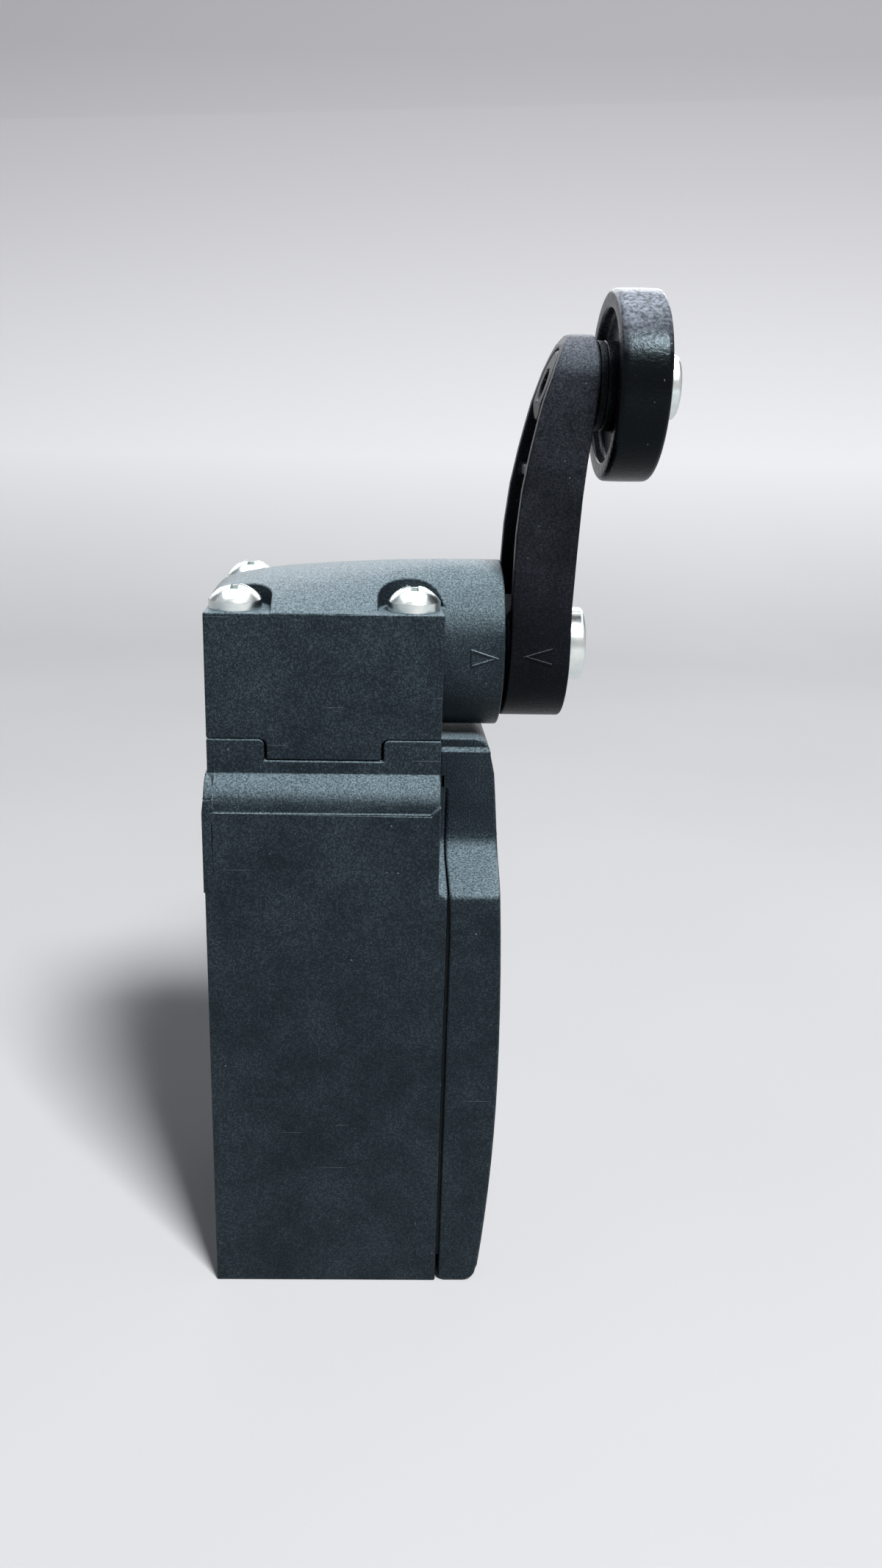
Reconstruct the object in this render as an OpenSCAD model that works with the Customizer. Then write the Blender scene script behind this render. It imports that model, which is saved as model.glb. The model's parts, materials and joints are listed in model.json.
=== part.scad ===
/* [Case] */
// Width of the case across its two mounting slots
case_w = 31; // [30:0.5:34]
// How far the case stands out behind the back of the head
back_step = 0.225; // [0.1:0.025:0.5]
// How far the front rim that the cover closes on stands out before the head
front_step = 1.025; // [0.8:0.025:1.5]
// Height of the joint between case and head
case_h = 67.7; // [66:0.5:72]
// Drop from that joint to where the side walls start to round in to the neck
shoulder_drop = 7.5; // [7:0.1:8.5]
// Radius of the rounded shoulder
shoulder_r = 3.8; // [3:0.2:4.2]
// Thickness of the back and side walls
case_wall = 2.5; // [2:0.1:3]
// Height of the solid base round the conduit entry
base_h = 10; // [8:0.5:12]
// How far the side panels and the upper back pad stand proud
panel_step = 0.15; // [0.1:0.05:0.3]
// Drop from the joint to the lower edge of the upper back pad and of the front ledge
ledge_drop = 16.7; // [16:0.1:17.5]

/* [Conduit and mounting] */
// Bore of the conduit entry, the minor diameter of an M20 x 1.5 thread
conduit_d = 18.4; // [17:0.1:18.6]
// Width of the mounting slots, clear for an M4 screw
slot_d = 4.3; // [4:0.1:4.6]
// Length of the mounting slots
slot_len = 5.3; // [5:0.1:5.6]
// Distance between the centres of the two mounting slots
slot_pitch = 21; // [20.5:0.1:21.5]
// Drop from the joint between case and head to the mounting slots
slot_drop = 10.2; // [9.8:0.1:10.6]

/* [Cover] */
// Drop from the joint between case and head to the narrow top of the cover
cover_drop = 1.3; // [1.2:0.1:2]
// Half width of the cover between the mounting screws
neck_half = 7; // [6.8:0.1:7.2]
// Seam between the case and the cover
cover_gap = 0.35; // [0.3:0.05:0.5]
// Greatest depth of the cover, from the seam to its crown
cover_t = 6.8; // [6.4:0.1:7.2]
// Thickness of the cover's walls
cover_wall = 1.8; // [1.5:0.1:2]
// Radius of the crown across the width
crown_y_r = 180; // [150:10:260]
// Radius of the crown below its highest line
crown_low_r = 240; // [200:10:300]
// Radius of the crown above its highest line
crown_up_r = 380; // [300:10:460]
// Height of the crown's highest line
crown_z = 28; // [24:1:32]
// Height of the cover's hinge axis above the base
hinge_z = 1.6; // [1.5:0.05:1.7]

/* [Head] */
// Side of the square head
head_w = 25.35; // [25:0.05:26]
// Height of the head's straight sides
head_h = 13.6; // [13:0.1:14]
// Height of the shaft's axis above the joint between case and head
shaft_up = 8.45; // [8.2:0.05:8.7]
// Diameter of the round boss that carries the shaft
boss_d = 18.8; // [18.4:0.1:19]
// How far the round boss stands out before the head
boss_len = 6.825; // [6.5:0.025:7.2]
// Distance from the sides of the head to the axes of its screws
screw_inset = 3.175; // [3.1:0.025:3.4]
// Radius of the pockets round the head screws
pocket_r = 3.85; // [3.4:0.05:4]
// Half width of the locating tongues under the head
tongue_half = 6.2; // [5:0.1:7]
// Depth of the locating tongues
tongue_h = 2.25; // [1.8:0.05:2.6]

/* [Shaft and lever] */
// Diameter of the shaft in its bush
shaft_d = 6; // [5.6:0.1:6.4]
// Diameter of the cam on the shaft
cam_d = 8; // [7.6:0.1:8.4]
// Height of the cam's flat from the axis
cam_flat = 2.5; // [2.2:0.1:2.9]
// Distance between the shaft's axis and the roller's axis
lever_l = 28.25; // [26:0.25:32]
// Radius of the lever at its hub
hub_r = 8.3; // [8:0.1:9]
// Radius of the lever at its tip
tip_r = 5.3; // [4.8:0.1:5.8]
// Thickness of the lever's hub
hub_t = 6.95; // [6.5:0.05:7.5]
// Thickness of the lever's walls
lever_wall = 1.5; // [1.2:0.1:1.8]

/* [Roller] */
// Diameter of the roller
roller_d = 20; // [18:0.5:22]
// Width of the roller's tread
roller_t = 5.3; // [5:0.1:6]
// Diameter of the roller pin
pin_d = 5; // [4.6:0.1:5.4]
// Width of the rim round the roller's recessed face
rim_w = 2; // [1.6:0.1:2.4]

/* [Contact block] */
// Side gap between the contact block and the walls of the case
block_gap = 0.5; // [0.3:0.1:0.8]
// Height of the bottom of the contact block
block_z = 22; // [20:0.5:24]
// Depth of the contact block in front of the case's back wall
block_d = 14.5; // [14:0.1:15]
// Travel of the plunger and of the contact carrier
travel = 1.5; // [1.2:0.1:1.8]
// Drop to the terminal screws of the break contact, as a share of the block's height
nc_share = 0.223; // [0.21:0.001:0.25]
// Rise to the terminal screws of the make contact, as a share of the block's height
no_share = 0.261; // [0.24:0.001:0.28]

/* [Fits] */
// Gap between surfaces that seat on each other
seat = 0.05; // [0.03:0.01:0.08]
// Radial gap of a running fit
run = 0.04; // [0.03:0.01:0.06]
// Side gap of parts that slide or drop into place
slip = 0.15; // [0.1:0.05:0.2]
// Gap between bodies that pass each other
clear = 0.3; // [0.25:0.05:0.35]

/* [Hidden] */
$fn = 64;
eps = 0.01;

housing_color = [0.17, 0.2, 0.23];
black_color = [0.07, 0.07, 0.08];
zinc_color = [0.75, 0.77, 0.78];
brass_color = [0.78, 0.66, 0.36];
steel_color = [0.62, 0.64, 0.67];
rubber_color = [0.1, 0.1, 0.11];
insulator_color = [0.86, 0.84, 0.78];
lid_color = [0.72, 0.74, 0.72];
carrier_color = [0.75, 0.2, 0.15];

half_w = case_w / 2;
half_head = head_w / 2;
case_back = half_head + back_step;
case_front = half_head + front_step;
shoulder_z = case_h - shoulder_drop;
ledge_z = case_h - ledge_drop;
slot_z = case_h - slot_drop;
slot_y = slot_pitch / 2;
cover_h = case_h - cover_drop;
cover_x = case_front + cover_gap;
crown_x = cover_x + cover_t;
shaft_z = case_h + shaft_up;
tip_z = shaft_z + lever_l;
boss_x = half_head + boss_len;
boss_r = boss_d / 2;
head_top = case_h + seat + head_h;
roof_z = shaft_z + boss_r;
screw_off = half_head - screw_inset;

// -- Helpers --------------------------------------------------------------

// Turns a profile drawn as (X, Z) into a solid along Y, centred on Y = 0
module along_y(width) {
    rotate([90, 0, 0])
        linear_extrude(width, center = true)
            children();
}

// Turns a profile drawn as (Y, Z) into a solid along X, from x0 to x1
module along_x(x0, x1) {
    translate([x0, 0, 0])
        rotate([90, 0, 90])
            linear_extrude(x1 - x0)
                children();
}

// A round bar along X at the height z
module bar_x(x0, x1, d, z = shaft_z, y = 0) {
    translate([x0, y, z])
        rotate([0, 90, 0])
            cylinder(h = x1 - x0, d = d);
}

// A round bar along Z
module bar_z(z0, z1, d, x = 0, y = 0) {
    translate([x, y, z0])
        cylinder(h = z1 - z0, d = d);
}

// A box given by its lowest and highest corners
module block(lo, hi) {
    translate(lo)
        cube(hi - lo);
}

// A copy on each side of the middle plane
module both_sides() {
    for (side = [-1, 1])
        scale([1, side, 1])
            children();
}

// A round bar along Y, centred on Y = 0
module bar_y(width, d, x, z) {
    translate([x, 0, z])
        rotate([90, 0, 0])
            cylinder(h = width, d = d, center = true);
}

// A copy at each of the four head screws
module at_head_screws() {
    for (x = [-1, 1], y = [-1, 1])
        translate([x * screw_off, y * screw_off, 0])
            children();
}

// A copy on each of the four sides of the head
module on_four_sides() {
    for (turn = [0:90:270])
        rotate([0, 0, turn])
            children();
}

// A tapered outline between two circles, with the straight tangents that join them
module taper(r1, z1, r2, z2) {
    lean = asin((r1 - r2) / (z2 - z1));
    translate([0, z1])
        circle(r1);
    translate([0, z2])
        circle(r2);
    polygon([
        [-r1 * cos(lean), z1 + r1 * sin(lean)],
        [r1 * cos(lean), z1 + r1 * sin(lean)],
        [r2 * cos(lean), z2 + r2 * sin(lean)],
        [-r2 * cos(lean), z2 + r2 * sin(lean)]
    ]);
}

// A helical spring along Z: a round wire swept round a coil whose end turns lie nearly closed
module coil(r, wire, turns, z0, z1, steps = 14, sides = 6) {
    end_pitch = 1.08 * wire;
    mid_pitch = (z1 - z0 - wire - 2 * end_pitch) / (turns - 2);
    n = turns * steps;
    rings = [for (i = [0:n], k = [0:sides - 1]) let (
            turn = i / steps,
            climb = end_pitch * min(turn, 1)
                + mid_pitch * min(max(turn - 1, 0), turns - 2)
                + end_pitch * max(turn - turns + 1, 0),
            q = 360 * k / sides,
            out = r + wire / 2 * cos(q)
        ) [out * cos(360 * turn), out * sin(360 * turn), climb + wire / 2 * sin(q)]];
    walls = [for (i = [0:n - 1], k = [0:sides - 1]) let (
            j = (k + 1) % sides
        ) [(i + 1) * sides + k, (i + 1) * sides + j, i * sides + j, i * sides + k]];
    near_end = [for (k = [0:sides - 1]) k];
    far_end = [for (k = [0:sides - 1]) n * sides + sides - 1 - k];
    translate([0, 0, z0 + wire / 2])
        polyhedron(points = rings, faces = concat(walls, [near_end, far_end]));
}

// A pan head along +Z from z = 0: a short rim, a dome and a cross recess
module pan_head(d, h, recess) {
    rim = 0.38 * h;
    dome = h - rim;
    dome_r = (d * d / 4 + dome * dome) / (2 * dome);
    difference() {
        union() {
            cylinder(h = rim, d = d);
            intersection() {
                translate([0, 0, h - dome_r])
                    sphere(dome_r);
                translate([0, 0, rim - eps])
                    cylinder(h = dome + 1, d = d);
            }
        }
        for (turn = [0, 90])
            rotate([0, 0, turn])
                translate([-recess / 2, -recess / 7, h - 0.45 * h])
                    cube([recess, recess / 3.5, h]);
    }
}

// A flat head along +Z from z = 0: straight sides, a rounded edge and a cross recess
module flat_head(d, h, edge, recess) {
    difference() {
        rotate_extrude() {
            square([d / 2, h - edge]);
            square([d / 2 - edge, h]);
            translate([d / 2 - edge, h - edge])
                intersection() {
                    circle(edge);
                    square(edge);
                }
        }
        for (turn = [0, 90])
            rotate([0, 0, turn])
                translate([-recess / 2, -recess / 7, 0.55 * h])
                    cube([recess, recess / 3.5, h]);
    }
}

// -- Case -----------------------------------------------------------------

floor_fall = 1.5;
flare_r = 3;
cavity_half = half_w - case_wall;
cavity_top = ledge_z - 1.4;
throat_half = neck_half - 1.4;
throat_top = shoulder_z + 0.3;
spring_pocket_d = 11.4;
stem_d = 4.6;
guide_t = 2.4;
guide_top = throat_top + guide_t;
knuckle_half = 5;
knuckle_r = hinge_z - 0.3;
hinge_x = cover_x + 2.95;
hinge_pin_d = 1.4;
head_screw_d = 3;
head_screw_in = 6.3;
notch_gap = 0.25;
notch_r = 0.7;

// Outline of the case from the front: straight sides, round shoulders and the neck
module case_outline(half) {
    translate([-half, 0])
        square([2 * half, shoulder_z]);
    for (side = [-1, 1])
        translate([side * (half - shoulder_r), shoulder_z])
            circle(shoulder_r);
    translate([-half_head, 0])
        square([head_w, case_h]);
}

// Outline that the cover and the rim under it share, drawn as (Y, Z) and drawn in by d
module lid_outline(d, top) {
    y = neck_half - d;
    w = half_w - d;
    fillet_z = ledge_z + floor_fall;
    difference() {
        union() {
            translate([-w, d])
                square([2 * w, ledge_z - 2 * d]);
            translate([-y, d])
                square([2 * y, top - 2 * d]);
            polygon([
                [-w, ledge_z - 1.2 * d],
                [w, ledge_z - 1.2 * d],
                [y + flare_r, fillet_z - d],
                [y, fillet_z + flare_r],
                [-y, fillet_z + flare_r],
                [-y - flare_r, fillet_z - d]
            ]);
        }
        for (side = [-1, 1])
            translate([side * (y + flare_r), fillet_z + flare_r - d])
                circle(flare_r);
    }
}

// Outline of a mounting slot about its own centre
module slot_outline() {
    reach = (slot_len - slot_d) / 2;
    for (side = [-1, 1])
        translate([side * reach, 0])
            circle(d = slot_d);
    translate([-reach, -slot_d / 2])
        square([2 * reach, slot_d]);
}

// Outline of a locating tongue that hangs from the joint, with rounded inner corners at its root;
// grown by d it is the notch that takes it
module tongue_outline(d = 0) {
    y = tongue_half + d;
    translate([-y, case_h - tongue_h - d / 2])
        square([2 * y, tongue_h + 1]);
    for (side = [-1, 1])
        scale([side, 1])
            difference() {
                translate([y - eps, case_h - notch_r])
                    square([notch_r + eps, notch_r + seat + eps]);
                translate([y + notch_r, case_h - notch_r])
                    circle(notch_r);
            }
}

module case() {
    color(housing_color)
    difference() {
        union() {
            // Body up to the ears, and the front rim that follows the cover
            along_x(-case_back, half_head)
                case_outline(half_w - panel_step);
            along_x(half_head - 1, case_front)
                lid_outline(0, throat_top + 1.8);
            // Side panels and upper back pad, a little proud of the body
            along_y(case_w)
                polygon([
                    [-case_back, 0],
                    [case_front, 0],
                    [case_front, ledge_z],
                    [half_head, ledge_z],
                    [half_head, shoulder_z + 1],
                    [half_head - 1, shoulder_z],
                    [-case_back, shoulder_z]
                ]);
            block([-case_back - panel_step, -half_w, ledge_z],
                [-case_back + 1, half_w, shoulder_z + 1.4]);
            // Hinge knuckle under the cover
            block([case_front - 1, -knuckle_half, hinge_z - knuckle_r],
                [hinge_x, knuckle_half, hinge_z + knuckle_r]);
            bar_y(2 * knuckle_half, 2 * knuckle_r, hinge_x, hinge_z);
        }
        // Neck is square on all sides, so the back pad and body are trimmed above the shoulder
        block([-case_back - 2, -half_w - 1, shoulder_z + shoulder_r - 0.2],
            [-half_head, half_w + 1, case_h + 1]);
        // Contact chamber and its narrow throat, open to the front
        block([-case_back + case_wall, -cavity_half, base_h], [case_front + 1, cavity_half, cavity_top]);
        block([-case_back + case_wall, -throat_half, base_h], [case_front + 1, throat_half, throat_top]);
        // Plunger guide and spring pocket in the neck
        bar_z(throat_top - 1, case_h + 1, stem_d + 2 * run);
        bar_z(guide_top, case_h + 1, spring_pocket_d);
        // Notches for the head's tongues
        on_four_sides()
            along_x(half_head - tongue_t - notch_gap, half_head + 1)
                tongue_outline(notch_gap);
        // Screw holes for the head
        at_head_screws()
            bar_z(case_h - head_screw_in - clear, case_h + 1, head_screw_d + 2 * seat);
        // Conduit entry
        bar_z(-1, base_h + 1, conduit_d);
        // Mounting slots
        both_sides()
            along_x(-case_back - 1, half_head + 2)
                translate([slot_y, slot_z])
                    slot_outline();
        // Hole for the cover's hinge pin
        bar_y(4 * knuckle_half, hinge_pin_d + 2 * run, hinge_x, hinge_z);
    }
}

// -- Cover ----------------------------------------------------------------

// The barrel-shaped front of the cover between z0 and z1: an arc across the width, swept in height
// round a far axis
module crown_slice(r, z0, z1) {
    translate([crown_x - r, 0, crown_z])
        rotate([90, 0, 0])
            intersection() {
                rotate_extrude($fn = 360)
                    intersection() {
                        translate([r - crown_y_r, 0])
                            circle(crown_y_r, $fn = 360);
                        translate([r - cover_t - 6, -half_w - 1])
                            square([cover_t + 7, case_w + 2]);
                    }
                translate([0, z0 - crown_z, -half_w - 2])
                    cube([r + 10, z1 - z0, case_w + 4]);
            }
}

module cover() {
    lip_inset = 0.6;
    lip_z = cover_h - 1.3;
    top_r = 2;
    top_x = hinge_x + 1.7;
    low_bend = 9;
    top_bend = 16;
    latch_half = 3;
    latch_t = 1.2;
    latch_reach = 2.2;
    hollow_d = 3.1;
    slot_half = knuckle_half + slip;
    color(housing_color)
    difference() {
        intersection() {
            union() {
                along_x(cover_x, crown_x + 1)
                    lid_outline(0, lip_z);
                along_x(cover_x, crown_x + 1)
                    translate([-neck_half + lip_inset, lip_z - 1])
                        square([2 * (neck_half - lip_inset), cover_h - lip_z + 1]);
            }
            union() {
                crown_slice(crown_low_r, -2, crown_z);
                crown_slice(crown_up_r, crown_z - eps, cover_h + 2);
            }
            // Side profile with the rounded top and bottom front corners
            along_y(case_w + 2)
                union() {
                    polygon([
                        [cover_x + 0.6, 0],
                        [hinge_x, 0],
                        [hinge_x + hinge_z, hinge_z],
                        [crown_x + 1, hinge_z + low_bend],
                        [crown_x + 1, cover_h - top_bend],
                        [top_x, cover_h - top_r],
                        [top_x - top_r, cover_h],
                        [cover_x, cover_h],
                        [cover_x, 0.6]
                    ]);
                    translate([hinge_x, hinge_z])
                        circle(hinge_z);
                    translate([top_x - top_r, cover_h - top_r])
                        circle(top_r);
                }
        }
        // Hollow inside
        along_x(cover_x - 1, cover_x + hollow_d)
            intersection() {
                lid_outline(gasket_in + gasket_w + cover_wall - slip, lip_z);
                translate([-half_w, hinge_z * 2 + gasket_w + cover_wall / 3])
                    square([case_w, case_h]);
            }
        // Groove for the gasket
        along_x(cover_x - 1, cover_x + gasket_h + seat)
            gasket_ring(slip / 2);
        // Slot for the hinge knuckle, open to the front below the pin so that the cover can swing down
        block([cover_x - 1, -slot_half, -1], [hinge_x, slot_half, 2 * hinge_z]);
        block([cover_x - 1, -slot_half, -1], [crown_x, slot_half, hinge_z]);
        bar_y(2 * slot_half, 2 * (knuckle_r + slip), hinge_x, hinge_z);
        bar_y(hinge_pin_l + 2 * slip, hinge_pin_d + 2 * seat, hinge_x, hinge_z);
    }
    // Latch tab under the roof of the case's throat
    color(housing_color)
        block([cover_x - latch_reach, -latch_half, throat_top - clear - latch_t],
            [cover_x + hollow_d + slip, latch_half, throat_top - clear]);
}

gasket_in = 0.55;
gasket_w = 0.75;
gasket_h = 0.75;
hinge_pin_l = 4 * knuckle_half - 4.4;

// Ring between two inset outlines of the cover, above the hinge
module gasket_ring(grow = 0) {
    difference() {
        gasket_edge(gasket_in - grow, -grow);
        gasket_edge(gasket_in + gasket_w + grow, gasket_w + grow);
    }
}

module gasket_edge(d, up) {
    intersection() {
        lid_outline(d, throat_top + 1.7);
        translate([-half_w, hinge_z * 2 + clear + up])
            square([case_w, case_h]);
    }
}

module cover_gasket() {
    color(rubber_color)
        along_x(case_front + seat, cover_x + gasket_h)
            gasket_ring();
}

module cover_hinge_pin() {
    color(steel_color)
        bar_y(hinge_pin_l, hinge_pin_d, hinge_x, hinge_z);
}

// -- Head -----------------------------------------------------------------

well_d = 15;
rear_d = 5;
rear_x = -half_head + 1.6;
bush_d = 11;
seal_d = 12.4;
seal_x = boss_x - 2.2;
tongue_t = 3;
screw_head_d = 5.65;
gasket_t = 0.7;

// Cross-sections of the roof from its back to its front: place, half width and rise of each arch
roof_arches = [
    [-half_head, half_head, 0.75],
    [-half_head + 0.5, half_head, 1.25],
    [-half_head + 1.4, half_head, 1.75],
    [-half_head + 3, half_head, 2.25],
    [-half_head + 5, half_head, 2.66],
    [-half_head + 8, half_head, 3.07],
    [-half_head + 11, half_head, 3.36],
    [-half_head + 14, 0.985 * half_head, 3.58],
    [-half_head + 17, 0.93 * half_head, 3.77],
    [half_head - 6, 0.85 * half_head, 3.94],
    [half_head - 3.5, 0.765 * half_head, 4.06],
    [half_head - 1.5, 0.685 * half_head, 4.13],
    [half_head, sqrt(boss_r * boss_r - pow(head_top - shaft_z, 2)) - seat, roof_z - head_top - seat]
];

// The roof lofts from a low wide arch at its back to the circle of the boss at its front
module roof() {
    steps = 36;
    hull()
        for (a = roof_arches) let (r = (a[1] * a[1] + a[2] * a[2]) / (2 * a[2]))
            translate([a[0] - (a[0] > 0 ? 2 * eps : 0), 0, head_top])
                rotate([90, 0, 90])
                    linear_extrude(2 * eps)
                        polygon(concat(
                            [[-a[1], -1]],
                            [for (i = [0:steps]) let (y = a[1] * (2 * i / steps - 1))
                                [y, sqrt(r * r - y * y) - r + a[2]]],
                            [[a[1], -1]]
                        ));
}

module head_housing() {
    pocket_open = 2;
    color(housing_color)
    difference() {
        union() {
            block([-half_head, -half_head, case_h + seat], [half_head, half_head, head_top]);
            roof();
            bar_x(half_head - seat, boss_x, boss_d);
            on_four_sides()
                along_x(half_head - tongue_t, half_head)
                    tongue_outline();
        }
        // Pockets round the head screws, open to both outer sides
        at_head_screws()
            translate([0, 0, head_top])
                cylinder(h = roof_z, r = pocket_r);
        for (x = [-1, 1], y = [-1, 1])
            scale([x, y, 1]) {
                block([screw_off - pocket_r, screw_off, head_top],
                    [half_head + 1, half_head + 1, roof_z + 1]);
                block([screw_off, screw_off - pocket_r + pocket_open, head_top],
                    [half_head, half_head + 1, roof_z + 1]);
            }
        at_head_screws()
            bar_z(case_h - 1, head_top + 1, head_screw_d + 0.4);
        // Well for the cam and the plunger, and the bearings of the shaft
        bar_z(case_h - 1, shaft_z + cam_d / 2 + 0.5, well_d);
        bar_x(rear_x - 0.1, 0, rear_d + 2 * run);
        bar_x(0, boss_x + 1, bush_d + seat);
        bar_x(seal_x, boss_x + 1, seal_d);
        // Groove for the gasket under the head
        difference() {
            bar_z(case_h - 1, case_h + gasket_t + seat, well_d + 3 + 2 * seat);
            bar_z(case_h - 2, case_h + 1, well_d + 1 - 2 * seat);
        }
    }
    color(housing_color)
        pointer_mark(boss_x - 0.65, boss_x - 3.7, boss_r);
}

// Raised outline of a small triangle on a round surface about the shaft's axis, facing -Y;
// a base_line below zero leaves the base of the triangle open
module pointer_mark(tip_x, back_x, r, base_line = 0.17) {
    line = 0.17;
    rise = 0.12;
    half = 0.98;
    way = sign(tip_x - back_x);
    intersection() {
        difference() {
            bar_x(min(tip_x, back_x) - 1, max(tip_x, back_x) + 1, 2 * (r + rise));
            bar_x(min(tip_x, back_x) - 2, max(tip_x, back_x) + 2, 2 * (r - rise));
        }
        translate([0, -r, 0])
            along_y(r)
                difference() {
                    polygon([
                        [tip_x, shaft_z],
                        [back_x, shaft_z + half],
                        [back_x, shaft_z - half]
                    ]);
                    polygon([
                        [tip_x - 3.4 * way * line, shaft_z],
                        [back_x + way * base_line, shaft_z + half - 1.3 * line],
                        [back_x + way * base_line, shaft_z - half + 1.3 * line]
                    ]);
                }
    }
}

module head_gasket() {
    color(rubber_color)
        difference() {
            bar_z(case_h + seat / 2, case_h + gasket_t, well_d + 3);
            bar_z(case_h - 1, case_h + 1, well_d + 1);
        }
}

module head_screws() {
    color(zinc_color)
        at_head_screws() {
            translate([0, 0, head_top + seat / 2])
                pan_head(screw_head_d, 0.45 * screw_head_d, 0.52 * screw_head_d);
            bar_z(case_h - head_screw_in, head_top + 0.5, head_screw_d);
        }
}

module shaft_bush() {
    color(brass_color)
        difference() {
            bar_x(cam_half + clear, seal_x - seat, bush_d - seat);
            bar_x(0, boss_x, shaft_d + 2 * run);
        }
}

module shaft_seal() {
    color(rubber_color)
        difference() {
            bar_x(seal_x + seat, boss_x - 0.25, seal_d - 2 * seat);
            bar_x(0, boss_x + 1, shaft_d + 4 * run);
        }
}

// -- Shaft, lever and roller ----------------------------------------------

cam_half = well_d / 2 - clear;
cam_rear = sqrt(well_d * well_d - cam_d * cam_d) / 2 - clear;
hub_x = boss_x + clear;
hub_front = hub_x + hub_t;
clip_seat = cam_half - 0.9;
shaft_screw_d = 4;

module shaft() {
    color(steel_color)
        difference() {
            union() {
                bar_x(rear_x, 0, rear_d);
                bar_x(-cam_rear, clip_seat, cam_d);
                bar_x(0, hub_front - 0.5, shaft_d);
            }
            block([-cam_rear - eps, -cam_d, shaft_z - cam_d], [clip_seat + eps, cam_d, shaft_z - cam_flat]);
            bar_x(hub_x - 1, hub_front, shaft_screw_d + 2 * seat);
        }
}

module shaft_circlip() {
    color(steel_color)
        difference() {
            bar_x(clip_seat + seat, cam_half - seat, cam_d + 0.6);
            bar_x(0, boss_x, shaft_d + seat);
            block([0, -1.2, shaft_z], [boss_x, 1.2, shaft_z + cam_d]);
        }
}

tip_pad_x = hub_front + 2.05;
tip_screw_d = 3;
rib_t = 1.2;
rear_land = 0.35;

// Curves of the arm's back and front: height as a share of the lever's length, and place along X
arm_back = [
    [0, 0.35], [0.28, 0.42], [0.46, 0.6], [0.62, 0.93], [0.76, 1.48], [0.86, 1.97], [0.94, 2.42],
    [1, 2.9], [1.06, 3.5], [1.11, 4.1], [1.15, 4.75], [1.18, 5.5], [1.2, 6.5]
];
arm_front = [
    [0, 0], [0.2, 0], [0.41, 0.3], [0.59, 0.6], [0.72, 0.95], [0.82, 1.32], [0.9, 1.6],
    [1, 1.85], [1.08, 1.9], [1.15, 1.75], [1.2, 1.5]
];

// Side profile of the arm, drawn as (X, Z), with its back and front moved along X
module arm_profile(back_in = 0, front_in = 0) {
    polygon(concat(
        [[hub_x + back_in, shaft_z - hub_r - 1]],
        [for (p = arm_back) [hub_x + p[1] + back_in, shaft_z + p[0] * lever_l]],
        [for (i = [len(arm_front) - 1:-1:0])
            [hub_front + arm_front[i][1] - front_in, shaft_z + arm_front[i][0] * lever_l]],
        [[hub_front - front_in, shaft_z - hub_r - 1]]
    ));
}

module lever_arm() {
    hub_boss_d = shaft_d + 5;
    tip_boss_x = hub_x + 2.4;
    tip_boss_d = tip_screw_d + 4.2;
    tip_pad_d = 9.2;
    rib_x = hub_x + 1.9;
    rear_set = 0.35;
    color(black_color)
        difference() {
            union() {
                intersection() {
                    along_x(hub_x, tip_pad_x)
                        taper(hub_r, shaft_z, tip_r, tip_z);
                    along_y(3 * hub_r)
                        arm_profile();
                }
                // Rear collar of the hub, set in a little, and the pad that the roller runs against
                bar_x(hub_x, hub_x + 2 * rear_land, 2 * (hub_r - rear_set));
                bar_x(hub_front, tip_pad_x, tip_pad_d, tip_z);
            }
            // Hollow back, with bosses and cross ribs left standing
            difference() {
                intersection() {
                    along_x(hub_x - 2, tip_pad_x)
                        taper(hub_r - lever_wall, shaft_z, tip_r - lever_wall, tip_z);
                    along_y(3 * hub_r)
                        translate([-2, 0])
                            arm_profile(-2, lever_wall);
                }
                bar_x(hub_x, tip_pad_x, hub_boss_d);
                bar_x(tip_boss_x, tip_pad_x, tip_boss_d, tip_z);
                for (share = [0.33, 0.66])
                    block([rib_x, -hub_r, shaft_z + share * lever_l],
                        [tip_pad_x, hub_r, shaft_z + share * lever_l + rib_t]);
            }
            bar_x(hub_x - 1, tip_pad_x, shaft_d + 2 * seat);
            bar_x(hub_x, tip_pad_x + 1, tip_screw_d + 2 * seat, tip_z);
        }
    color(black_color)
        pointer_mark(hub_x + 1.8, hub_x + 5, hub_r, -eps);
}

washer_t = 0.6;
lever_screw_head = 8.3;

module lever_washer() {
    color(zinc_color)
        difference() {
            bar_x(hub_front + seat / 2, hub_front + washer_t, 1.06 * lever_screw_head);
            bar_x(hub_front - 1, hub_front + 2, shaft_screw_d + 4 * seat);
        }
}

module lever_screw() {
    color(zinc_color) {
        translate([hub_front + washer_t + seat / 2, 0, shaft_z])
            rotate([0, 90, 0])
                flat_head(lever_screw_head, 0.22 * lever_screw_head, 0.5, 0.48 * lever_screw_head);
        bar_x(hub_x + 0.2, hub_front + 1, shaft_screw_d);
    }
}

roller_x = tip_pad_x + 1.15;
roller_back = roller_x + roller_t;
roller_boss = 0.35;
roller_pin_head = 6.8;

module roller() {
    recess = 1.3;
    edge = 0.5;
    hub_r = pin_d / 2 + 2.2;
    bore_r = pin_d / 2 + run;
    r = roller_d / 2;
    turn = 0.3 * edge;
    color(black_color)
        translate([roller_x, 0, tip_z])
            rotate([0, 90, 0])
                rotate_extrude($fn = 96)
                    polygon([
                        [bore_r, -roller_boss],
                        [hub_r, -roller_boss],
                        [hub_r, recess],
                        [r - rim_w, recess],
                        [r - rim_w, 0],
                        [r - edge, 0],
                        [r - turn, turn],
                        [r, edge],
                        [r, roller_t - edge],
                        [r - turn, roller_t - turn],
                        [r - edge, roller_t],
                        [r - rim_w, roller_t],
                        [r - rim_w, roller_t - recess],
                        [hub_r, roller_t - recess],
                        [hub_r, roller_t],
                        [bore_r, roller_t]
                    ]);
}

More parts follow.
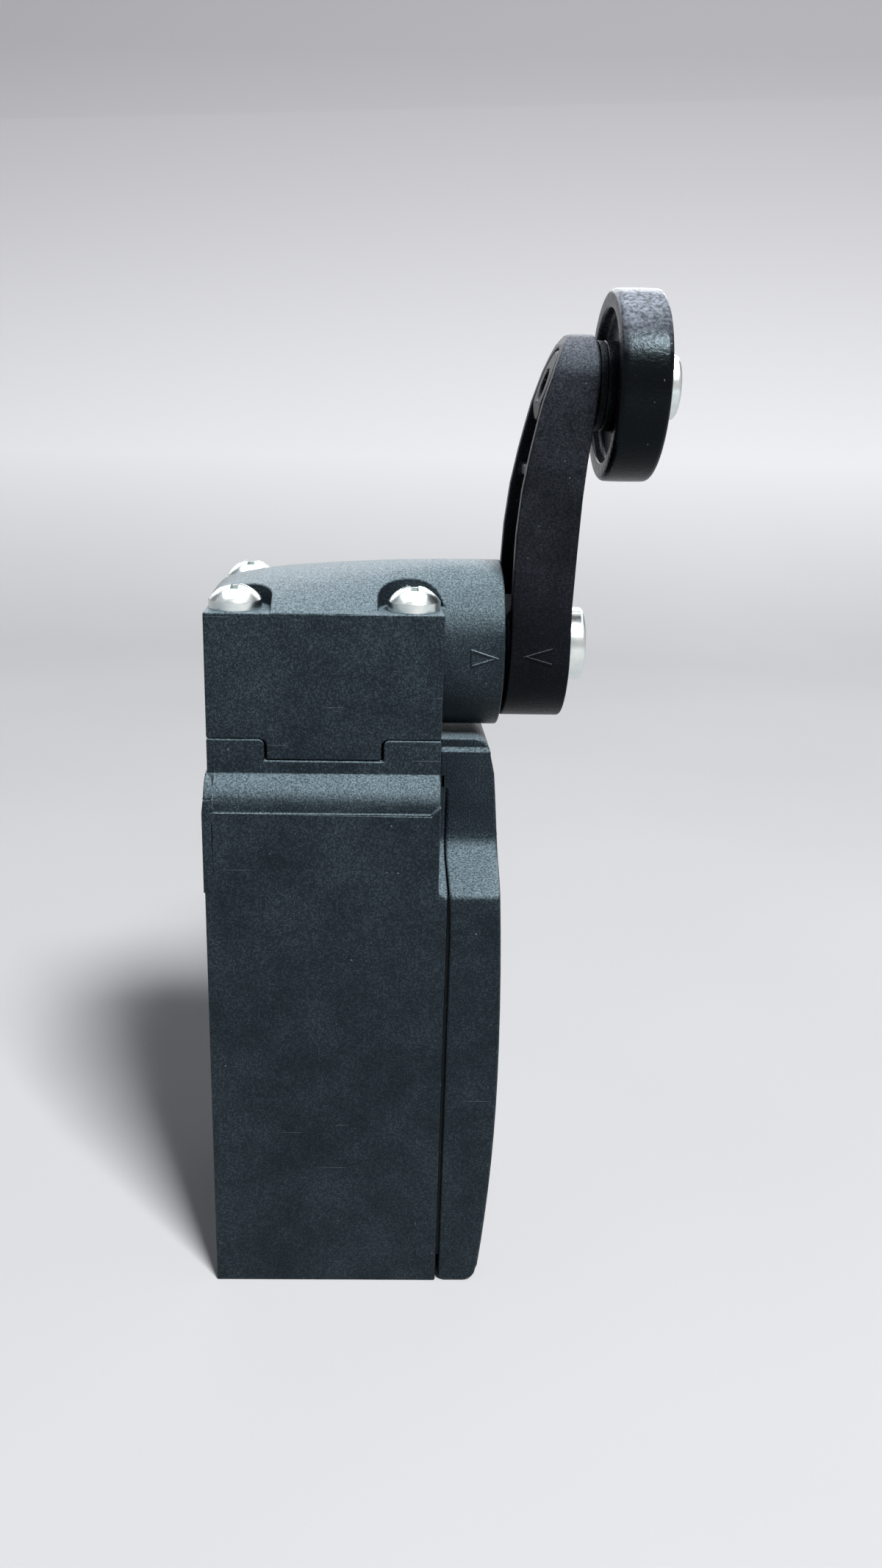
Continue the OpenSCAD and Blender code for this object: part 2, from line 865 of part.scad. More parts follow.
module roller_pin() {
    color(zinc_color) {
        bar_x(tip_pad_x + seat, roller_back + 2.4 * seat, pin_d, tip_z);
        bar_x(tip_pad_x - 3.6, tip_pad_x + 1, tip_screw_d, tip_z);
        translate([roller_back + 2 * seat, 0, tip_z])
            rotate([0, 90, 0])
                flat_head(roller_pin_head, 0.35 * roller_pin_head, 0.5, roller_pin_head / 2);
    }
}

module roller_washer() {
    color(black_color)
        difference() {
            bar_x(tip_pad_x + seat, roller_x - roller_boss - seat, pin_d + 4.4, tip_z);
            bar_x(tip_pad_x - 1, roller_x, pin_d + 2 * seat, tip_z);
        }
}

// -- Plunger and its spring -----------------------------------------------

touch_gap = 0.12;
plunger_top = shaft_z - cam_d / 2 - touch_gap;
plunger_plate = 1.8;
plate_d = spring_pocket_d - 4 * slip;
spring_wire = 0.8;
stem_end = throat_top - travel - 0.1;

module return_plunger() {
    color(insulator_color) {
        bar_z(plunger_top - plunger_plate, plunger_top, plate_d);
        bar_z(stem_end, plunger_top - plunger_plate / 2, stem_d);
    }
}

module return_spring() {
    color(steel_color)
        coil(plate_d / 2 - spring_wire, spring_wire, 5,
            guide_top + seat, plunger_top - plunger_plate - seat);
}

// -- Contact block --------------------------------------------------------

block_x0 = -case_back + case_wall + 0.1;
block_front = block_x0 + block_d;
block_top = cavity_top - seat;
half_block = cavity_half - block_gap;
chamber_half = half_block - 5.3;
chamber_x = block_x0 + 3.5;
chamber_z0 = block_z + 5.2;
chamber_z1 = block_top - 3.2;
block_h = block_top - block_z;
nc_z = block_top - nc_share * block_h;
no_z = block_z + no_share * block_h;
pocket_y = chamber_half + 0.35;
pocket_half = 3.1;
pocket_depth = 3.4;
term_head_d = 4.9;
term_screw_d = 3;
term_screw_in = 6.5;
term_y = pocket_y + 0.1 + term_head_d / 2;
pad_x = block_front - pocket_depth;
pad_half = 2.6;
strip_t = 0.8;
strip_tongue = 1.2;
carrier_half = 1.9;
carrier_x = 0;
carrier_stem_d = 4;
bridge_w = 3;
bridge_window = 0.109 * block_h;
spring_seat_d = 4.6;
spring_seat_h = 3;
break_z = nc_z - 0.087 * block_h;
make_z = no_z + 0.123 * block_h;
make_low = make_z - travel - 0.1 - strip_t;

// A terminal strip: a pad for the screw and an arm that reaches into the chamber
module terminal(z_arm, z_pad) {
    difference() {
        union() {
            block([carrier_x - bridge_w / 2, carrier_half + 1.6, z_arm],
                [pad_x + strip_t, chamber_half + strip_tongue, z_arm + strip_t]);
            block([pad_x, pocket_y + seat, min(z_arm, z_pad - pad_half)],
                [pad_x + strip_t, half_block - 0.2, max(z_arm + strip_t, z_pad + pad_half)]);
        }
        bar_x(pad_x - 1, pad_x + 2, term_screw_d + 2 * seat, z_pad, term_y);
    }
}

module contact_block() {
    color(insulator_color)
        difference() {
            block([block_x0, -half_block, block_z], [block_front, half_block, block_top]);
            // Bridge chamber
            block([chamber_x, -chamber_half, chamber_z0], [block_front + 1, chamber_half, chamber_z1]);
            // Terminal pockets at the four corners
            both_sides()
                for (z = [nc_z, no_z])
                    block([pad_x - seat, pocket_y, z - pocket_half],
                        [block_front + 1, half_block + 1, z + pocket_half]);
            // Slots for the strips' arms
            both_sides()
                for (z = [break_z, make_low])
                    block([carrier_x - bridge_w / 2 - seat, chamber_half - 1, z - seat],
                        [block_front + 1, chamber_half + strip_tongue + seat, z + strip_t + seat]);
            // Screw bores behind the pads
            both_sides()
                for (z = [nc_z, no_z])
                    bar_x(pad_x - term_screw_in, pad_x + 1, term_screw_d + 2 * seat, z, term_y);
            // Guide of the carrier's stem, and its spring seat
            bar_z(chamber_z1 - 1, block_top + 1, carrier_stem_d + 2 * run, carrier_x);
            bar_z(chamber_z0 - spring_seat_h, chamber_z0 + 1, spring_seat_d, carrier_x);
        }
}

module contact_block_cover() {
    color(lid_color)
        block([block_front + seat, -pocket_y + 2 * slip, chamber_z0 - 1.6],
            [block_front + 1, pocket_y - 2 * slip, chamber_z1 + 1.6]);
}

carrier_z0 = chamber_z0 + travel + 0.5;
carrier_z1 = chamber_z1 - clear;

module contact_carrier() {
    depth = bridge_w / 2 + 1.1;
    half = bridge_w / 2 + seat;
    color(carrier_color)
        difference() {
            union() {
                block([carrier_x - depth, -carrier_half, carrier_z0],
                    [carrier_x + depth, carrier_half, carrier_z1]);
                bar_z(carrier_z1 - 1, stem_end - touch_gap, carrier_stem_d, carrier_x);
            }
            block([carrier_x - half, -carrier_half - 1, bridge_low - bridge_window],
                [carrier_x + half, carrier_half + 1, bridge_low + strip_t + seat]);
            block([carrier_x - half, -carrier_half - 1, make_z - seat],
                [carrier_x + half, carrier_half + 1, make_z + strip_t + bridge_window]);
        }
}

bridge_low = break_z - strip_t - seat;

// A contact bridge whose underside lies at z
module bridge(z) {
    half = chamber_half - 0.5;
    block([carrier_x - bridge_w / 2, -half, z], [carrier_x + bridge_w / 2, half, z + strip_t]);
}

module break_bridge() {
    color(brass_color)
        bridge(bridge_low);
}

module make_bridge() {
    color(brass_color)
        bridge(make_z);
}

// A small spring between a bridge and the end of its window, from z up
module bridge_spring(z) {
    translate([carrier_x, 0, 0])
        coil(0.95, 0.115 * bridge_window, 5, z + seat, z + bridge_window - seat, 12);
}

module bridge_springs() {
    color(steel_color) {
        bridge_spring(bridge_low - bridge_window);
        bridge_spring(make_z + strip_t);
    }
}

module carrier_spring() {
    color(steel_color)
        translate([carrier_x, 0, 0])
            coil(1.75, 0.45, 7, chamber_z0 - spring_seat_h + seat, carrier_z0 - seat, 12);
}

module break_terminals() {
    color(brass_color)
        both_sides()
            terminal(break_z, nc_z);
}

module make_terminals() {
    color(brass_color)
        both_sides()
            terminal(make_low, no_z);
}

clamp_t = 0.8;

module terminal_screws() {
    color(zinc_color)
        both_sides()
            for (z = [nc_z, no_z])
                translate([pad_x + strip_t + clamp_t + seat, term_y, z])
                    rotate([0, 90, 0]) {
                        pan_head(term_head_d, 0.39 * term_head_d, 0.6 * term_head_d);
                        bar_z(-term_screw_in, 0.5, term_screw_d);
                    }
}

module terminal_clamps() {
    color(zinc_color)
        both_sides()
            for (z = [nc_z, no_z])
                difference() {
                    block([pad_x + strip_t + seat, pocket_y + slip, z - pad_half + 0.1],
                        [pad_x + strip_t + clamp_t, half_block - clear, z + pad_half - 0.1]);
                    bar_x(pad_x, block_front, term_screw_d + 2 * slip, z, term_y);
                }
}

case();
cover();
cover_gasket();
cover_hinge_pin();
head_housing();
head_gasket();
head_screws();
shaft_bush();
shaft_seal();
shaft();
shaft_circlip();
lever_arm();
lever_washer();
lever_screw();
roller();
roller_pin();
roller_washer();
return_plunger();
return_spring();
contact_block();
contact_block_cover();
contact_carrier();
carrier_spring();
bridge_springs();
break_bridge();
make_bridge();
break_terminals();
make_terminals();
terminal_screws();
terminal_clamps();
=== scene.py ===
"""A roller lever limit switch: plastic case with its cover, square head, swinging lever and roller.

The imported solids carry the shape. This script gives every surface its finish, rounds the moulded
edges, and sets the camera, the lamps and the paper sweep that the switch stands on.
"""
import json
import math

import bmesh
import bpy
import numpy as np
from mathutils import Matrix, Vector
from mathutils.bvhtree import BVHTree


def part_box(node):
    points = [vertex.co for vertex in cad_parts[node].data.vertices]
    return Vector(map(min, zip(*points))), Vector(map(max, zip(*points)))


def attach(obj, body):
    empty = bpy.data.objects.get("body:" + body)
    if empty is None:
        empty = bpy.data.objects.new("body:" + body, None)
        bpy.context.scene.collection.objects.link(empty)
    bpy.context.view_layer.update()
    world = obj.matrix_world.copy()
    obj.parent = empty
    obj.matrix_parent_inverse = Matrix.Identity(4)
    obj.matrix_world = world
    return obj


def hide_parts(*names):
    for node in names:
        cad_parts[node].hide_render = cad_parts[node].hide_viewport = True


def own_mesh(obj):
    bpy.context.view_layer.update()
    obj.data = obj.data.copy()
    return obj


MM = 0.001
# Points of a solid closer than this, in metres, are one point
WELD = 2e-6

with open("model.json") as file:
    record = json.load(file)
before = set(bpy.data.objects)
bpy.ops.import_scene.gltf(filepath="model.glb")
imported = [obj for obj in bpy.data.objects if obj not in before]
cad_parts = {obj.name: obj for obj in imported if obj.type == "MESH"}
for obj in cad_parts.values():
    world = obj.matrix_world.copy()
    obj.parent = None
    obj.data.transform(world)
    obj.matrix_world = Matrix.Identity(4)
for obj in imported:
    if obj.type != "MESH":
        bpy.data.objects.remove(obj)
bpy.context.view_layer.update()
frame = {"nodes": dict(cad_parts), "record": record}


# -- Shader helpers ---------------------------------------------------------------------------


class Shader:
    """A small builder of node materials: each call adds one node and returns its output."""

    def __init__(self, name):
        self.material = bpy.data.materials.new(name)
        self.material.use_nodes = True
        self.tree = self.material.node_tree
        self.tree.nodes.clear()
        self.output = self.tree.nodes.new("ShaderNodeOutputMaterial")
        place = self.tree.nodes.new("ShaderNodeTexCoord")
        self.coords = place.outputs["Object"]
        self.true_normal = self.tree.nodes.new("ShaderNodeNewGeometry").outputs["Normal"]

    def node(self, kind, inputs=None, **settings):
        """Adds a node, sets its properties, and fills or links its inputs."""
        made = self.tree.nodes.new(kind)
        for key, value in settings.items():
            setattr(made, key, value)
        for key, value in (inputs or {}).items():
            if isinstance(value, bpy.types.NodeSocket):
                self.tree.links.new(value, made.inputs[key])
            else:
                made.inputs[key].default_value = value
        return made

    def math(self, operation, a, b=0.0, c=0.0):
        return self.node("ShaderNodeMath", {0: a, 1: b, 2: c}, operation=operation).outputs[0]

    def product(self, a, b):
        return self.math("MULTIPLY", a, b)

    def scaled(self, factors):
        """Object coordinates stretched by a factor along each axis."""
        return self.node("ShaderNodeVectorMath", {0: self.coords, 1: factors}, operation="MULTIPLY").outputs[0]

    def noise(self, size_mm, detail=3.0, roughness=0.55, vector=None):
        """Noise whose blobs are about size_mm wide."""
        inputs = {"Vector": vector or self.coords, "Scale": 1 / (size_mm * MM), "Detail": detail,
                  "Roughness": roughness}
        return self.node("ShaderNodeTexNoise", inputs).outputs["Fac"]

    def ramp(self, value, low, high, out_low=0.0, out_high=1.0):
        """A straight ramp from out_low at low to out_high at high, held outside them."""
        inputs = {"Value": value, "From Min": low, "From Max": high, "To Min": out_low, "To Max": out_high}
        return self.node("ShaderNodeMapRange", inputs, clamp=True).outputs["Result"]

    def mix(self, factor, first, second):
        """Blends two colours."""
        mixer = self.node("ShaderNodeMix", data_type="RGBA")
        for socket, value in ((mixer.inputs[0], factor), (mixer.inputs[6], first), (mixer.inputs[7], second)):
            if isinstance(value, bpy.types.NodeSocket):
                self.tree.links.new(value, socket)
            else:
                socket.default_value = value
        return mixer.outputs[2]

    def bump(self, height, depth_mm, strength=1.0, normal=None):
        """Normals tilted as if the height were carved depth_mm deep."""
        inputs = {"Height": height, "Distance": depth_mm * MM, "Strength": strength}
        if normal:
            inputs["Normal"] = normal
        return self.node("ShaderNodeBump", inputs).outputs["Normal"]

    def soft_edges(self, radius_mm):
        """Normals that turn over each edge as if it had that radius."""
        return self.node("ShaderNodeBevel", {"Radius": radius_mm * MM}, samples=6).outputs["Normal"]

    def scratches(self, turn, tail):
        """Thin lines: the tail of a noise drawn out to leaves 9 mm long and a sixth of one thick, which
        meet a surface in lines. turn is the leaves' rotation, and tail is where the noise starts to show."""
        length_mm, leaves_per_mm = 9.0, 6.0
        drawn_out = {"Vector": self.coords, "Rotation": turn,
                     "Scale": (1 / length_mm, 1 / length_mm, leaves_per_mm)}
        turned = self.node("ShaderNodeMapping", drawn_out).outputs[0]
        return self.ramp(self.noise(1.0, 0.0, 0.5, turned), tail, tail + 0.02)

    def finish(self, **inputs):
        """Ends the material in one surface shader, whose inputs are named with underscores for spaces."""
        named = {key.replace("_", " "): value for key, value in inputs.items()}
        surface = self.node("ShaderNodeBsdfPrincipled", named)
        self.tree.links.new(surface.outputs["BSDF"], self.output.inputs["Surface"])
        return self.material


# What lies on moulded plastic: the pale line of a worn edge, which is also a painted highlight, specks of dust,
# and the cool film of dust, which is also painted light on what faces up
WORN_EDGE_AND_HIGHLIGHT = (0.3, 0.36, 0.4, 1)
DUST = (0.42, 0.45, 0.47, 1)
COOL_DUST_AND_LIGHT = (0.33, 0.44, 0.5, 1)
# The tint of the plastic's reflections
COOL_GLOSS = (0.7, 0.92, 1.0, 1)


def moulded_plastic(name, dark, light, roughness, grain_mm, grain_depth_mm, edge_mm, specks=0.5, dust_and_top_light=0.0,
                    wear_and_highlight=0.0, gloss_level=0.4, painted_height_light=(0.0, 1.0, 0.0), dust_and_light_colour=COOL_DUST_AND_LIGHT, scratched=0.0):
    """Spark-eroded moulded plastic: fine grain with light flecks, a film of dust with painted top light, painted
    light higher up, worn edges with painted highlights, scratches.

    The fleck strength is the product of two noises, so that flecks are small and unevenly spread. The
    film lies on what faces up: it grows with the height of the surface normal, and is partly dust and
    partly painted light, which makes tops paler as if lit from above. A fainter haze fades in between two
    heights, given in metres with its strength: it is painted light that makes the upper parts paler, and on
    the roller it is a painted highlight on the top of the tread. Edges are where the rounded normal leaves
    the true one. Their pale line shows only on edges that face up, and is partly wear and partly a painted
    highlight where the edge catches light from above. Scratches and specks of dust are the thin tails of
    more noises.
    """
    clouds_mm, dust_mm, dust_strength = 8.0, 0.42, 0.4
    s = Shader(name)
    grain = s.noise(grain_mm, 2.0, 0.6)
    pores = s.noise(grain_mm * 0.5, 1.0)
    clouds = s.noise(clouds_mm, 4.0, 0.62)
    rounded_normal = s.soft_edges(edge_mm)

    flecks = s.product(s.ramp(grain, 0.46, 0.66), s.ramp(pores, 0.42, 0.62))
    patchy = s.product(flecks, s.ramp(clouds, 0.36, 0.62, 0.5, 1.0))
    tone = s.math("MULTIPLY_ADD", s.ramp(clouds, 0.35, 0.7), 0.06, s.product(patchy, specks))
    colour = s.mix(tone, dark, light)

    facing_up = s.node("ShaderNodeSeparateXYZ", {0: rounded_normal}).outputs[2]
    height = s.node("ShaderNodeSeparateXYZ", {0: s.coords}).outputs[2]
    # Painted light: a paler tone that fades in with height, standing in for the light on the upper parts
    painted_light_low, painted_light_high, painted_light_strength = painted_height_light
    painted_upper_light = s.product(s.ramp(height, painted_light_low, painted_light_high, 0.0, painted_light_strength),
                      s.ramp(clouds, 0.35, 0.6, 0.4, 1.0))
    # The film: dust on what faces up, together with painted light that makes up-facing surfaces paler
    dust_and_light_strength = s.math("ADD", s.ramp(facing_up, 0.25, 1.0, 0.0, dust_and_top_light), painted_upper_light)
    dust_and_light_strength = s.product(dust_and_light_strength, s.ramp(grain, 0.35, 0.65, 0.3, 1.7))
    colour = s.mix(dust_and_light_strength, colour, dust_and_light_colour)

    alike = s.node("ShaderNodeVectorMath", {0: rounded_normal, 1: s.true_normal}, operation="DOT_PRODUCT")
    edge = s.product(s.ramp(alike.outputs["Value"], 0.985, 0.9), s.ramp(grain, 0.35, 0.6, 0.3, 1.0))
    # The pale edge line only on edges that face up: wear, and a painted highlight where edges catch light from
    # above
    edge = s.product(edge, s.ramp(facing_up, 0.1, 0.45, 0.0, wear_and_highlight))
    colour = s.mix(edge, colour, WORN_EDGE_AND_HIGHLIGHT)

    dust = s.product(s.ramp(s.noise(dust_mm, 0.0), 0.855, 0.88), dust_strength)
    if scratched:
        lines = s.math("MAXIMUM", s.scratches((0.0, 0.04, 0.0), 0.875), s.scratches((0.0, -0.5, 0.3), 0.85))
        dust = s.math("MAXIMUM", dust, s.product(lines, scratched))
    colour = s.mix(dust, colour, DUST)

    gloss = s.math("MULTIPLY_ADD", clouds, 0.1, roughness - 0.05)
    gloss = s.math("MULTIPLY_ADD", flecks, -0.1, gloss)
    normal = s.bump(grain, grain_depth_mm, 1.0, rounded_normal)
    return s.finish(Base_Color=colour, Roughness=gloss, Normal=normal, Specular_IOR_Level=gloss_level,
                    Specular_Tint=COOL_GLOSS)


def bright_metal(name, colour, tint, roughness, wear_mm, edge_mm):
    """Plated or drawn metal with cloudy plating and fine handling marks.

    The marks are a noise six times as long along X, the axis of the lever's screws, as across it.
    """
    clouds_mm = 1.6
    s = Shader(name)
    clouds = s.noise(clouds_mm, 3.0)
    marks = s.noise(wear_mm, 3.0, 0.7, s.scaled((1.0, 6.0, 6.0)))
    tone = s.mix(s.ramp(clouds, 0.35, 0.7), colour, tint)
    gloss = s.math("MULTIPLY_ADD", marks, 0.16, roughness)
    normal = s.bump(marks, 0.01, 0.5, s.soft_edges(edge_mm))
    return s.finish(Base_Color=tone, Metallic=1.0, Roughness=gloss, Normal=normal)


MATERIALS = {
    "housing_plastic": moulded_plastic(
        "housing_plastic", (0.002, 0.0042, 0.0075, 1), (0.13, 0.175, 0.21, 1), roughness=0.41, grain_mm=0.2,
        grain_depth_mm=0.055, edge_mm=0.12, specks=0.4, dust_and_top_light=0.4, wear_and_highlight=0.9, gloss_level=0.23,
        painted_height_light=(0.035, 0.06, 0.016), scratched=0.2),
    "lever_plastic": moulded_plastic(
        "lever_plastic", (0.0012, 0.0012, 0.0018, 1), (0.05, 0.052, 0.075, 1), roughness=0.4, grain_mm=0.22,
        grain_depth_mm=0.05, edge_mm=0.12, specks=0.25, dust_and_top_light=0.25, wear_and_highlight=0.04, gloss_level=0.1,
        painted_height_light=(0.078, 0.108, 0.075), dust_and_light_colour=(0.34, 0.37, 0.45, 1)),
    # The roller's height haze is a painted highlight on the top of its tread
    "roller_plastic": moulded_plastic(
        "roller_plastic", (0.001, 0.001, 0.0015, 1), (0.02, 0.02, 0.028, 1), roughness=0.27, grain_mm=0.4,
        grain_depth_mm=0.035, edge_mm=0.12, specks=0.2, dust_and_top_light=0.1, wear_and_highlight=0.1, gloss_level=0.12,
        painted_height_light=(0.1075, 0.1135, 0.6), dust_and_light_colour=(0.36, 0.4, 0.48, 1)),
    "carrier_plastic": moulded_plastic(
        "carrier_plastic", (0.32, 0.03, 0.02, 1), (0.45, 0.06, 0.04, 1), roughness=0.45, grain_mm=0.3,
        grain_depth_mm=0.01, edge_mm=0.15),
    "insulator": moulded_plastic(
        "insulator", (0.5, 0.48, 0.4, 1), (0.62, 0.6, 0.52, 1), roughness=0.5, grain_mm=0.3,
        grain_depth_mm=0.01, edge_mm=0.15),
    "seal_rubber": moulded_plastic(
        "seal_rubber", (0.008, 0.008, 0.008, 1), (0.02, 0.02, 0.02, 1), roughness=0.7, grain_mm=0.3,
        grain_depth_mm=0.01, edge_mm=0.15),
    "zinc_plate": bright_metal(
        "zinc_plate", (0.62, 0.7, 0.71, 1), (0.84, 0.85, 0.8, 1), roughness=0.16, wear_mm=0.5, edge_mm=0.12),
    "steel": bright_metal(
        "steel", (0.5, 0.5, 0.52, 1), (0.62, 0.62, 0.63, 1), roughness=0.26, wear_mm=0.5, edge_mm=0.1),
    "brass": bright_metal(
        "brass", (0.68, 0.5, 0.2, 1), (0.78, 0.6, 0.3, 1), roughness=0.28, wear_mm=0.6, edge_mm=0.08),
}


def dress_solids():
    """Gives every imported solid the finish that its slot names."""
    for row in frame["record"]["subparts"]:
        solid = frame["nodes"][row["node"]]
        solid.data.materials.clear()
        solid.data.materials.append(MATERIALS[row["material_slot"]])


# -- Camera, lamps and sweep ------------------------------------------------------------------


def add_camera():
    """A short-lens camera close in front of the side of the switch, looking down a little.

    ahead is the line of sight. right and down are turned about it by the roll.
    """
    place_mm = (4.45, -139.4, 103.4)
    pitch, yaw, roll = math.radians(17.748), math.radians(-0.906), math.radians(0.915)
    ahead = Vector((-math.sin(yaw) * math.cos(pitch), math.cos(yaw) * math.cos(pitch), -math.sin(pitch)))
    right = Vector((math.cos(yaw), math.sin(yaw), 0))
    down = ahead.cross(right)
    tilted_right = right * math.cos(roll) - down * math.sin(roll)
    tilted_down = right * math.sin(roll) + down * math.cos(roll)
    data = bpy.data.cameras.new("camera")
    data.sensor_width = 36
    data.lens = 28.07
    data.shift_x = 0.0369
    data.clip_start = 0.01
    camera = bpy.data.objects.new("camera", data)
    bpy.context.collection.objects.link(camera)
    turn = Matrix((tilted_right, -tilted_down, -ahead)).transposed()
    camera.matrix_world = Matrix.Translation(Vector(place_mm) * MM) @ turn.to_4x4()
    bpy.context.scene.camera = camera


def add_lamp(name, place, aim, size, power, colour):
    """A soft rectangular lamp at place, turned to aim, that the camera doesn't see."""
    data = bpy.data.lights.new(name, "AREA")
    data.shape = "RECTANGLE"
    data.size, data.size_y = size
    data.energy = power
    data.color = colour
    lamp = bpy.data.objects.new(name, data)
    bpy.context.collection.objects.link(lamp)
    lamp.visible_camera = False
    lamp.location = place
    lamp.rotation_mode = "QUATERNION"
    lamp.rotation_quaternion = (Vector(aim) - Vector(place)).to_track_quat("-Z", "Y")
    return lamp


def add_lamps():
    """A lamp high in front on the right, and a ceiling and a back wall that only show as reflections."""
    add_lamp("key_lamp", (0.42, -0.76, 1.14), (0, 0, 0.06), (0.34, 0.34), 25.5, (0.98, 0.99, 1.0))
    ceiling = add_lamp("ceiling_lamp", (0, 0.12, 0.8), (0, 0, 0.06), (0.9, 0.6), 7.0, (0.95, 0.98, 1.0))
    back = add_lamp("back_lamp", (-0.02, 0.62, 0.4), (0, 0, 0.08), (1.0, 0.36), 3.6, (0.96, 0.98, 1.0))
    ceiling.visible_diffuse = back.visible_diffuse = False


def seen_rays(shader):
    """1 for camera, glossy and transmission rays, 0 for the rays that only carry light back."""
    rays = shader.node("ShaderNodeLightPath").outputs
    mirrored = shader.math("MAXIMUM", rays["Is Glossy Ray"], rays["Is Transmission Ray"])
    return shader.math("MAXIMUM", rays["Is Camera Ray"], mirrored)


def add_room():
    """The room's own weak light, and the pale tone that it has where it is seen."""
    world = bpy.data.worlds.new("room")
    world.use_nodes = True
    tree = world.node_tree
    dim, pale = tree.nodes["Background"], tree.nodes.new("ShaderNodeBackground")
    dim.inputs["Color"].default_value, dim.inputs["Strength"].default_value = (0.8, 0.88, 1.0, 1), 0.08
    pale.inputs["Color"].default_value = (0.56, 0.57, 0.59, 1)
    rays, blend = tree.nodes.new("ShaderNodeLightPath"), tree.nodes.new("ShaderNodeMixShader")
    mirrored, seen = (tree.nodes.new("ShaderNodeMath") for _ in range(2))
    mirrored.operation = seen.operation = "MAXIMUM"
    for start, end in ((rays.outputs["Is Glossy Ray"], mirrored.inputs[0]),
                       (rays.outputs["Is Transmission Ray"], mirrored.inputs[1]),
                       (rays.outputs["Is Camera Ray"], seen.inputs[0]),
                       (mirrored.outputs[0], seen.inputs[1]),
                       (seen.outputs[0], blend.inputs[0]),
                       (dim.outputs[0], blend.inputs[1]),
                       (pale.outputs[0], blend.inputs[2]),
                       (blend.outputs[0], tree.nodes["World Output"].inputs["Surface"])):
        tree.links.new(start, end)
    bpy.context.scene.world = world


def paper():
    """Pale paper whose tone changes with the height above the floor, and which sends little light back."""
    near_floor, wall_foot, wall_top = 0.0, 0.07, 0.3
    s = Shader("paper")
    fibres = s.noise(0.5, 4.0)
    clouds = s.noise(120.0, 2.0)
    above_floor = s.node("ShaderNodeSeparateXYZ", {0: s.coords}).outputs[2]
    colour = s.mix(s.ramp(clouds, 0.3, 0.7), (0.66, 0.66, 0.67, 1), (0.7, 0.7, 0.705, 1))
    # Painted light on the sweep: a pale band at the foot of the wall and a darker tone towards its top, standing
    # in for how the lamp's light falls off
    colour = s.mix(s.ramp(above_floor, near_floor, wall_foot), colour, (0.94, 0.93, 0.94, 1))
    colour = s.mix(s.ramp(above_floor, wall_foot, wall_top), colour, (0.55, 0.535, 0.55, 1))
    colour = s.mix(seen_rays(s), (0.13, 0.13, 0.135, 1), colour)
    return s.finish(Base_Color=colour, Roughness=0.9, Normal=s.bump(fibres, 0.03, 0.3))


def grid_faces(rows, columns, closed=False):
    """The quads of a grid of rows x columns points, numbered along the rows, and round if closed."""
    last = 0 if closed else 1
    i, j = np.meshgrid(np.arange(rows - last), np.arange(columns - last), indexing="ij")
    i, j = i.ravel(), j.ravel()
    ahead, aside = (i + 1) % rows, (j + 1) % columns
    return i * columns + j, i * columns + aside, ahead * columns + aside, ahead * columns + j


def add_sweep():
    """A sheet of pale paper: flat under the switch, then a quarter circle, then a wall.

    Point (i, j) lies at x_j along the sheet's width and at (y_i, z_i) of its profile. The sheet lies
    0.02 mm under the switch.
    """
    front, bend_start, bend_radius, top, half_width, drop = -1.2, 0.35, 0.35, 1.6, 2.0, 0.00002
    angle = np.linspace(0, math.pi / 2, 24)
    y = np.concatenate([[front], bend_start + bend_radius * np.sin(angle), [bend_start + bend_radius]])
    z = np.concatenate([[0.0], bend_radius - bend_radius * np.cos(angle), [top]])
    x = np.linspace(-half_width, half_width, 9)
    points = np.stack(np.broadcast_arrays(x[None, :], y[:, None], z[:, None] - drop), axis=-1).reshape(-1, 3)
    mesh = bpy.data.meshes.new("sweep")
    mesh.from_pydata(points.tolist(), [], np.column_stack(grid_faces(len(y), len(x))).tolist())
    mesh.shade_smooth()
    mesh.materials.append(paper())
    sweep = bpy.data.objects.new("sweep", mesh)
    bpy.context.collection.objects.link(sweep)


# -- Pieces that stand for a solid -------------------------------------------------------------


def take_place(piece, name):
    """Lets a piece stand for the solid of that name, with its body, finish and slot."""
    row = next(row for row in frame["record"]["subparts"] if row["node"] == name)
    bodies = frame["record"]["behaviour"]["bodies"]
    piece.data.materials.clear()
    piece.data.materials.append(MATERIALS[row["material_slot"]])
    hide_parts(name)
    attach(piece, next(body for body, nodes in bodies.items() if name in nodes))


def shade_by_area(mesh, crease=38):
    """Sets corner normals: at each corner, the faces round the vertex that turn less than crease from
    this corner's face are averaged by area, so flat faces stay flat and roundings blend into them."""
    corner_count, face_count = len(mesh.loops), len(mesh.polygons)
    vertex = np.empty(corner_count, int)
    mesh.loops.foreach_get("vertex_index", vertex)
    sizes, areas, facing = np.empty(face_count, int), np.empty(face_count), np.empty(face_count * 3)
    mesh.polygons.foreach_get("loop_total", sizes)
    mesh.polygons.foreach_get("area", areas)
    mesh.polygons.foreach_get("normal", facing)
    facing = facing.reshape(-1, 3)
    face = np.repeat(np.arange(face_count), sizes)
    order = np.argsort(vertex, kind="stable")
    ranks = np.arange(corner_count) - np.searchsorted(vertex[order], vertex[order])
    total = np.zeros((corner_count, 3))
    for step in range(-ranks.max(), ranks.max() + 1):
        other = np.clip(np.arange(corner_count) + step, 0, corner_count - 1)
        same = (vertex[order[other]] == vertex[order]) & (np.arange(corner_count) + step == other)
        here, there = face[order], face[order[other]]
        close = same & (np.einsum("ij,ij->i", facing[here], facing[there]) > math.cos(math.radians(crease)))
        total[order] += facing[there] * (areas[there] * close)[:, None]
    length = np.linalg.norm(total, axis=1, keepdims=True)
    mesh.shade_smooth()
    mesh.normals_split_custom_set(np.where(length > 0, total / np.maximum(length, 1e-30), facing[face]).tolist())


